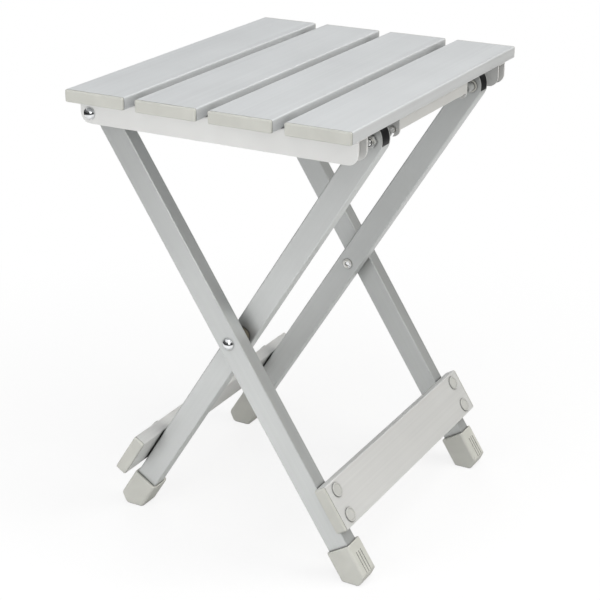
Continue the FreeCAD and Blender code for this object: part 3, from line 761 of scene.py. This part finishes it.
# %% [markdown]
# ## Locking nuts
# The nuts on the catch pins are hexagon bar, turned to a chamfer at both ends, with a thin collar that is crimped
# over a dark nylon ring. A bevel on the hexagon would give flat chamfers. A lathe leaves curved ones, so the nut is
# made as in the workshop: a six-sided bar is cut down to what a chamfered round blank leaves of it. The collar is
# joined to it and the hole is bored through both.

# %% model the nut
NUT_WIDTH = 10.0 * MM        # across the flats
NUT_CORNER = NUT_WIDTH / math.sqrt(3)
NUT_TURN = math.radians(30)
NUT_HEIGHT = 4.6 * MM
NUT_CHAMFER = 0.65 * MM
CHAMFER_STEPS = 1
LATHE_SIDES = 64
LATHE_RADIUS = NUT_CORNER + 0.02 * MM    # a hair past the corners, so that only its chamfers cut
COLLAR_HEIGHT = 1.5 * MM
COLLAR_RADIUS = 4.2 * MM
COLLAR_WALL = 0.35 * MM
COLLAR_ROOT = 1.0 * MM       # how deep the collar is set into the nut before they are joined
COLLAR_DRAFT = 0.05 * MM
COLLAR_HOLLOW = 0.9 * COLLAR_HEIGHT
COLLAR_ROUND = 0.25 * MM
COLLAR_STEPS = 2
PIN_RADIUS = 3.0 * MM
BORE_RADIUS = PIN_RADIUS + 0.05 * MM
CUT_PAST = 1.0 * MM          # how far a cutting tool runs past the face
collar_top = NUT_HEIGHT + COLLAR_HEIGHT
bore_top = collar_top + COLLAR_HEIGHT
nut = turned_blank(HEXAGON, NUT_CORNER, 0.0, NUT_HEIGHT, NUT_TURN)
blank = turned_blank(LATHE_SIDES, LATHE_RADIUS, 0.0, NUT_HEIGHT)
for height in (0.0, NUT_HEIGHT):
    round_rim(blank, height, LATHE_RADIUS, NUT_CHAMFER, CHAMFER_STEPS)
combine(nut, blank, "INTERSECT")
collar = turned_blank(ROUND_SIDES, COLLAR_RADIUS, NUT_HEIGHT - COLLAR_ROOT, collar_top)
select_face(collar, collar_top, True)
bpy.ops.mesh.inset(thickness=COLLAR_WALL)
bpy.ops.mesh.inset(thickness=COLLAR_DRAFT, depth=-COLLAR_HOLLOW)
bpy.ops.object.mode_set(mode="OBJECT")
round_rim(collar, collar_top, COLLAR_RADIUS, COLLAR_ROUND, COLLAR_STEPS)
combine(nut, collar, "UNION")
combine(nut, turned_blank(ROUND_SIDES, BORE_RADIUS, -CUT_PAST, bore_top), "DIFFERENCE")
print("nut", len(nut.data.polygons), "faces")

# %% [markdown]
# The ring lies in the collar with a little air around it, so that no two faces share a place. It grips the pin.

# %% model the nylon ring
RING_RADIUS = COLLAR_RADIUS - COLLAR_WALL - 0.1 * MM
RING_LOW = NUT_HEIGHT + 0.2 * MM
RING_HIGH = NUT_HEIGHT + 1.35 * MM
RING_ROUND = 0.25 * MM
RING_STEPS = 3
RING_BORE = PIN_RADIUS + 0.02 * MM
ring = turned_blank(ROUND_SIDES, RING_RADIUS, RING_LOW, RING_HIGH)
round_rim(ring, RING_HIGH, RING_RADIUS, RING_ROUND, RING_STEPS)
combine(ring, turned_blank(ROUND_SIDES, RING_BORE, -CUT_PAST, bore_top), "DIFFERENCE")
print("ring", len(ring.data.polygons), "faces")

# %% [markdown]
# One nut sits on the outer face of each inner leg, in line with its catch pin.

# %% set the nuts
FRONT = Vector((0, -1, 0))
REAR = Vector((0, 1, 0))
catch = middle("catch_pin_nuts")
leg_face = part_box("inner_leg_rear")[1].y
nut_places = [((catch.x, -leg_face, catch.z), FRONT), ((catch.x, leg_face, catch.z), REAR)]
fit_copies(nut, "locking_nuts", nut_places, zinc, "inner_frame", ["catch_pin_nuts"])
fit_copies(ring, "locking_nut_rings", nut_places, black_plastic, "inner_frame",
           ["catch_pin_nut_rings"])
bpy.data.objects.remove(nut)
bpy.data.objects.remove(ring)

# %% [markdown]
# ## Catch pins
# A catch pin is a cold-headed rod whose outer end is threaded for the nut. The rod is drawn out in steps: the
# thread at the outer end, then the head at the inner end. The pitch is 1 mm, and a helix that fine can't be told from
# rings at this size, so the end face is drawn out in narrow and wide steps by turns.

# %% model and set the pins
PIN_HEAD_RADIUS = 4.4 * MM
PIN_HEAD_HEIGHT = 3.0 * MM
PIN_HEAD_PLACE = 74.6 * MM   # where the head begins, from the stool's middle plane
THREAD_PITCH = 1.0 * MM
THREAD_TURNS = 3
THREAD_CORE = 0.82           # the core's share of the full width
TIP_CHAMFER = 0.6 * MM
head_seat = leg_face - PIN_HEAD_PLACE
pin_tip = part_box("catch_pins")[1].y - leg_face
plain_end = pin_tip - TIP_CHAMFER - THREAD_TURNS * THREAD_PITCH
pin = turned_blank(SMALL_SIDES, PIN_RADIUS, -head_seat, plain_end)
select_face(pin, plain_end, True)
for turn in range(THREAD_TURNS):
    drawn_out(THREAD_PITCH / 2, THREAD_CORE)
    drawn_out(THREAD_PITCH / 2, 1 / THREAD_CORE)
drawn_out(TIP_CHAMFER, 1 - TIP_CHAMFER / PIN_RADIUS)
select_face(pin, -head_seat, False)
drawn_out(0.0, PIN_HEAD_RADIUS / PIN_RADIUS)
drawn_out(TIP_CHAMFER - PIN_HEAD_HEIGHT)
drawn_out(-TIP_CHAMFER, 1 - TIP_CHAMFER / PIN_HEAD_RADIUS)
bpy.ops.object.mode_set(mode="OBJECT")
fit_copies(pin, "threaded_catch_pins", nut_places, zinc, "inner_frame", ["catch_pins"])
bpy.data.objects.remove(pin)

# %% [markdown]
# ## Sleeve nuts
# The domed bolts screw into sleeve nuts from the inside of the legs: a thin flanged head with a hexagon socket,
# and a barrel that runs in the leg as the bearing. The head starts as a disc with a rounded rim and the barrel is
# drawn out of its back. Bore and socket could be inset too, but a six-sided socket in a round face needs a cut, so a
# round and a six-sided tool cut both.

# %% model the sleeve nut
FLANGE_RADIUS = 5.5 * MM
FLANGE_HEIGHT = 1.2 * MM
FLANGE_ROUND = 0.7 * MM
FLANGE_STEPS = 4
BARREL_RADIUS = 4.0 * MM
SOCKET_WIDTH = 5.0 * MM      # across the flats
SOCKET_CORNER = SOCKET_WIDTH / math.sqrt(3)
BOLT_END = -0.4 * MM         # where the bolt ends behind the socket


def sleeve_nut(barrel_length):
    sleeve = turned_blank(ROUND_SIDES, FLANGE_RADIUS, 0.0, FLANGE_HEIGHT)
    round_rim(sleeve, FLANGE_HEIGHT, FLANGE_RADIUS, FLANGE_ROUND, FLANGE_STEPS)
    select_face(sleeve, 0.0, False)
    bpy.ops.mesh.inset(thickness=FLANGE_RADIUS - BARREL_RADIUS)
    drawn_out(-barrel_length)
    bpy.ops.object.mode_set(mode="OBJECT")
    bore = turned_blank(ROUND_SIDES, BORE_RADIUS, -barrel_length - CUT_PAST, BOLT_END)
    combine(sleeve, bore, "DIFFERENCE")
    socket = turned_blank(HEXAGON, SOCKET_CORNER, BOLT_END - CUT_PAST, FLANGE_HEIGHT + CUT_PAST)
    combine(sleeve, socket, "DIFFERENCE")
    return sleeve


# %% [markdown]
# At the cross pivot the flange leaves a running gap to the turning leg. At the seat pivot it lies on the leg that it
# rides with.

# %% set the sleeve nuts
RUNNING_GAP = 0.2 * MM
for node, axis, leg, gap in (("cross_pivot_sleeve_nuts", cross_axis, "inner_leg_rear", RUNNING_GAP),
                             ("seat_pivot_sleeve_nuts", seat_axis, "outer_leg_rear", 0.0)):
    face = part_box(leg)[0].y - gap
    sleeve = sleeve_nut(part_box(node)[1].y - face)
    places = [((axis.x, -face, axis.z), REAR), ((axis.x, face, axis.z), FRONT)]
    fit_copies(sleeve, node + "_socketed", places, zinc, "outer_frame", [node])
    bpy.data.objects.remove(sleeve)

# %% [markdown]
# ## Which node gets which finish
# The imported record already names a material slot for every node. The finish follows that name, apart from the two
# pairs of legs, whose die lines lean in opposite directions, and the bracket, which is a shade darker than the
# rails.

# %% dress the nodes
finishes = {"slat_aluminium": slat_metal, "crossbar_aluminium": bar_metal, "rail_aluminium": rail_coat,
            "grey_cap_plastic": cap_plastic, "grey_foot_plastic": foot_plastic, "black_plastic": black_plastic,
            "bearing_plastic": acetal, "khaki_plastic": khaki_plastic, "white_nylon": white_nylon,
            "chrome_steel": chrome, "zinc_steel": zinc, "rivet_aluminium": rivet_metal}
slot_of = {part["node"]: part["material_slot"] for part in frame["record"]["subparts"]}
for name, node in nodes.items():
    finish = finishes.get(slot_of[name])
    if slot_of[name] == "leg_aluminium":
        finish = outer_metal if name.startswith("outer") else inner_metal
    if name == "seat_bracket":
        finish = bracket_coat
    for slot in node.material_slots:
        slot.material = finish
print("dressed", len(nodes), "nodes")
